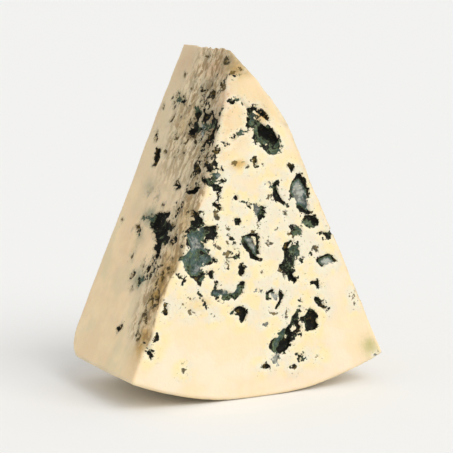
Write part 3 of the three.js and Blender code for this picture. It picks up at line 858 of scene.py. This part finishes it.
# ------------------------ material
class Nodes:
    """Builds a material's nodes; each method returns the socket that carries its result."""

    def __init__(self, material):
        self.tree = material.node_tree
        self.place = self.tree.nodes.new("ShaderNodeTexCoord").outputs["Object"]

    def new(self, kind, **settings):
        node = self.tree.nodes.new(kind)
        for name, value in settings.items():
            setattr(node, name, value)
        return node

    def feed(self, socket, value):
        if isinstance(value, bpy.types.NodeSocket):
            self.tree.links.new(value, socket)
        else:
            socket.default_value = value

    def fact(self, name):
        return self.new("ShaderNodeAttribute", attribute_name=name).outputs["Fac"]

    def math(self, operation, a, b=0.0, clamp=False):
        node = self.new("ShaderNodeMath", operation=operation, use_clamp=clamp)
        self.feed(node.inputs[0], a)
        self.feed(node.inputs[1], b)
        return node.outputs[0]

    def times(self, a, b):
        return self.math("MULTIPLY", a, b)

    def fade(self, value, start, end, low=0.0, high=1.0):
        """From low at start to high at end, smooth between."""
        node = self.new("ShaderNodeMapRange", interpolation_type="SMOOTHSTEP")
        for socket, number in zip(node.inputs, (value, start, end, low, high)):
            self.feed(socket, number)
        return node.outputs[0]

    def mix(self, amount, a, b, blend="MIX"):
        """Colour b over colour a. A Mix node keeps its colours in sockets 6 and 7, and its result in 2."""
        node = self.new("ShaderNodeMix", data_type="RGBA", blend_type=blend)
        self.feed(node.inputs[0], amount)
        self.feed(node.inputs[6], a)
        self.feed(node.inputs[7], b)
        return node.outputs[2]

    def noise(self, grain, detail=3.0, rough=0.55, offset=0.0, drawn=1.0):
        """Noise from 0 to 1 whose grain is so many mm across, and drawn out upwards. The offset makes
        each noise its own."""
        mapping = self.new("ShaderNodeMapping")
        self.feed(mapping.inputs["Vector"], self.place)
        mapping.inputs["Location"].default_value = (offset, offset * 0.7, offset * 1.3)
        mapping.inputs["Scale"].default_value = [1000.0 / grain / s for s in (1.0, 1.0, drawn)]
        node = self.new("ShaderNodeTexNoise")
        node.inputs["Scale"].default_value = 1.0
        node.inputs["Detail"].default_value = detail
        node.inputs["Roughness"].default_value = rough
        self.feed(node.inputs["Vector"], mapping.outputs[0])
        return node.outputs["Fac"]

    def ramp(self, value, stops):
        node = self.new("ShaderNodeValToRGB")
        elements = node.color_ramp.elements
        while len(elements) < len(stops):
            elements.new(0.5)
        for element, (place, colour) in zip(elements, stops):
            element.position = place
            element.color = colour
        self.feed(node.inputs[0], value)
        return node.outputs[0]


def wide_face_colour(n):
    """Peach ivory, and yellow-green among the veins."""
    ivory = n.mix(n.fade(n.noise(13, 3, offset=3), 0.38, 0.62), IVORY, PEACH)
    from_vein = n.math("ADD", n.fact("gap"), n.times(n.noise(6, 3, offset=7), 4.0))
    moist = n.mix(n.fade(n.noise(5, 3, 0.6, offset=9), 0.42, 0.6), WHEY, BUTTER)
    ivory = n.mix(n.times(n.fade(from_vein, 7.0, 3.6), 0.8), ivory, moist)
    # The broken tip's tan: partly the broken paste's own colour, partly painted shade of the facet's upper
    # and left parts
    return n.mix(n.times(n.fact("broken"), 0.7), ivory, BROKEN_PASTE_AND_SHADE)


def side_cut_colour(n):
    """Cream and beige, with greenish clouds, and greyer above."""
    cut = n.mix(n.fade(n.noise(9, 3, offset=13), 0.36, 0.64), CREAM, BUFF)
    cut = n.mix(n.fade(n.noise(15, 3, 0.6, offset=17), 0.46, 0.62, 0.0, 0.5), cut, GREENISH)
    return n.mix(n.times(n.fact("high"), 0.6), cut, UPPER)


def paste_colour(n):
    """The cut faces: stained by kind, with painted shade along the ridge near the tip, streaked brown
    where torn, and crusted at the crown of the tip.
    """
    colour = n.mix(n.fact("side"), wide_face_colour(n), side_cut_colour(n))
    torn = n.fact("torn")
    torn_paste = n.mix(n.fade(n.noise(4, 4, 0.6, offset=23), 0.4, 0.62), TORN_LIGHT, TORN_DARK)
    colour = n.mix(n.fade(torn, 0.1, 0.7, 0.0, 0.8), colour, torn_paste)
    blotch = n.fade(n.noise(3.2, 4, 0.62, offset=27), 0.34, 0.6, 0.5, 1.0)
    # Stains by kind, and the painted shade beside the ridge near the tip
    for name, stain_or_shade in STAIN_AND_SHADE_COLOURS.items():
        colour = n.mix(n.times(n.fact(name), blotch), colour, stain_or_shade)
    streaks = n.fade(n.noise(1.8, 4, 0.62, offset=31, drawn=2.4), 0.55, 0.43)
    streaks = n.times(streaks, n.fade(torn, 0.3, 0.95, 0.0, 0.8))
    colour = n.mix(streaks, colour, STREAK)
    crumbs = n.fade(n.noise(2.8, 4, 0.65, offset=39), 0.32, 0.62, 0.3, 0.9)
    return n.mix(n.times(n.fact("crown"), crumbs), colour, CRUST)


def rind_colour(n):
    """The wheel's outer skin: pale buff, mottled, a little greyer than the paste."""
    buff = n.mix(n.fade(n.noise(11, 5, 0.5, offset=41), 0.3, 0.7), RIND_LIGHT, RIND_DARK)
    buff = n.mix(n.fade(n.noise(3.0, 5, 0.6, offset=47), 0.5, 0.72, 0.0, 0.5), buff, RIND_BLOOM)
    return n.mix(n.fade(n.noise(1.4, 3, 0.6, offset=49), 0.64, 0.74, 0.0, 0.5), buff, RIND_PIT)


def mould_colour(n):
    """Mould by the pocket's own tone, mottled, with painted shade just inside its rim and deep inside."""
    wander = n.times(n.math("SUBTRACT", n.noise(1.1, 4, 0.75, offset=53), 0.5), 1.1)
    drift = n.times(n.math("SUBTRACT", n.noise(3.4, 2, 0.5, offset=55), 0.5), 0.9)
    tone = n.math("ADD", n.fact("tone"), n.math("ADD", wander, drift), clamp=True)
    colour = n.ramp(tone, MOULD_COLOURS)
    bloom = n.fade(n.noise(1.3, 4, 0.7, offset=57), 0.54, 0.7, 0.0, 0.6)
    bloom = n.times(bloom, n.fade(n.fact("tone"), 0.3, 0.6))
    colour = n.mix(bloom, colour, MOULD_BLOOM)
    clumps = n.fade(n.noise(1.5, 3, 0.6, offset=58), 0.36, 0.62, 0.5, 1.25)
    colour = n.mix(1.0, colour, clumps, "MULTIPLY")
    # Painted shade: darker just inside the pocket's mouth and towards the bottom of a deep pocket
    depth = n.math("ADD", n.fact("under"), n.times(n.noise(1.6, 3, offset=59), 2.0))
    colour = n.mix(n.fade(depth, 1.7, 0.9, 0.0, 0.45), colour, MOULD_RIM_SHADE)
    return n.mix(n.fade(depth, 2.8, 5.0), colour, MOULD_DEPTH_SHADE)


def cheese_material():
    """Mould where the skin lies in a pocket, and paste or rind elsewhere."""
    material = bpy.data.materials.new("blue_cheese")
    material.use_nodes = True
    n = Nodes(material)
    shader = material.node_tree.nodes["Principled BSDF"]

    ragged = n.math("ADD", n.noise(1.2, 3, 0.6, offset=61), n.noise(2.2, 3, 0.6, offset=63))
    ragged = n.times(n.math("SUBTRACT", ragged, 1.0), 3.4)
    inside = n.fade(n.fact("under"), 0.3, 1.2)
    gap = n.math("SUBTRACT", n.math("ADD", n.fact("gap"), ragged), inside)
    faint = n.fade(n.fact("tone"), 0.1, 0.0, 1.0, 0.9)
    mould = n.times(n.fade(gap, 0.16, -0.1), faint)
    near = n.fade(gap, 3.2, 0.6, 0.0, 0.75)
    specks = n.times(n.fade(n.noise(0.9, 3, 0.6, offset=81), 0.62, 0.68), near)
    halo = n.times(n.fade(gap, 2.2, 0.3, 0.0, 0.5), n.fade(n.fact("side"), 0.0, 1.0, 1.0, 0.3))
    halo = n.times(halo, n.fade(n.fact("ochre"), 0.6, 0.1))
    smudge = n.times(n.fade(gap, 1.5, 0.1, 0.0, 0.4), n.fact("side"))

    colour = n.mix(n.fact("rind"), paste_colour(n), rind_colour(n))
    colour = n.mix(halo, colour, HALO)
    colour = n.mix(smudge, colour, SMUDGE)
    colour = n.mix(specks, colour, SPECK)
    colour = n.mix(mould, colour, mould_colour(n))
    n.feed(shader.inputs["Base Color"], colour)

    damp = n.fade(n.noise(3.5, 3, offset=67), 0.35, 0.7, 0.42, 0.62)
    n.feed(shader.inputs["Roughness"], n.math("ADD", damp, n.times(mould, 0.25)))
    shader.inputs["Subsurface Weight"].default_value = 0.18
    shader.inputs["Subsurface Radius"].default_value = (1.0, 0.55, 0.25)
    shader.inputs["Subsurface Scale"].default_value = 0.002
    shader.inputs["Specular IOR Level"].default_value = 0.25

    lumps = n.times(n.noise(3.0, 3, offset=73), 1.4)
    bump = n.new("ShaderNodeBump")
    bump.inputs["Distance"].default_value = 0.0006
    n.feed(bump.inputs["Strength"], n.math("ADD", 0.22, n.times(n.fact("torn"), 0.5)))
    n.feed(bump.inputs["Height"], n.math("ADD", n.noise(0.9, 4, 0.6, offset=71), lumps))
    n.feed(shader.inputs["Normal"], bump.outputs[0])
    return material


def plain_material(name, colour, roughness):
    material = bpy.data.materials.new(name)
    material.use_nodes = True
    shader = material.node_tree.nodes["Principled BSDF"]
    shader.inputs["Base Color"].default_value = colour
    shader.inputs["Roughness"].default_value = roughness
    return material


# ------------------------ pieces
def add_object(name, data):
    piece = bpy.data.objects.new(name, data)
    bpy.context.scene.collection.objects.link(piece)
    return piece


def add_cheese():
    mesh = carve_cheese()
    mesh.materials.append(cheese_material())
    cheese = add_object("cheese", mesh)
    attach(cheese, "root")
    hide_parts("cheese_wedge")


def add_floor():
    half = 12.0
    corners = [(-half, -half, 0), (half, -half, 0), (half, half, 0), (-half, half, 0)]
    mesh = bpy.data.meshes.new("floor")
    mesh.from_pydata(corners, [], [(0, 1, 2, 3)])
    mesh.materials.append(plain_material("floor", srgb(240, 240, 239), 0.8))
    add_object("floor", mesh)


# ------------------------ light and camera
def direction(azimuth, elevation):
    """The way from the cheese to a lamp or the camera, in degrees: the azimuth turns from straight in
    front of the wide face to its right, and the elevation is above level."""
    azimuth, elevation = math.radians(azimuth), math.radians(elevation)
    level = math.cos(elevation)
    return Vector((math.sin(azimuth) * level, -math.cos(azimuth) * level, math.sin(elevation)))


def add_lights():
    """One broad lamp from the upper right in front, in a bright white room."""
    light = bpy.data.lights.new("key", "SUN")
    light.energy = 1.75
    light.angle = math.radians(50)
    light.color = (1.0, 0.985, 0.955)
    lamp = add_object("key", light)
    lamp.location = direction(20, 40)
    lamp.rotation_euler = lamp.location.to_track_quat("Z", "Y").to_euler()
    world = bpy.data.worlds.new("studio")
    world.use_nodes = True
    background = world.node_tree.nodes["Background"]
    background.inputs["Color"].default_value = (1.0, 1.0, 1.0, 1.0)
    background.inputs["Strength"].default_value = 0.68
    bpy.context.scene.world = world


def add_camera():
    """Left of the wide face, a little above it, and near enough for the side cut to narrow backwards."""
    away = direction(-25.97, 8.47)
    distance = 0.560
    roll = math.radians(-0.85)
    aim = Vector((0.0017, 0.0, 0.047))
    data = bpy.data.cameras.new("camera")
    data.sensor_width = 36.0
    data.lens = 148.0
    camera = add_object("camera", data)
    camera.location = aim + distance * away
    turn = (-away).to_track_quat("-Z", "Y").to_matrix() @ Matrix.Rotation(roll, 3, "Z")
    camera.rotation_euler = turn.to_euler()
    bpy.context.scene.camera = camera


add_cheese()
add_floor()
add_lights()
add_camera()
bpy.context.scene.view_settings.view_transform = "Standard"
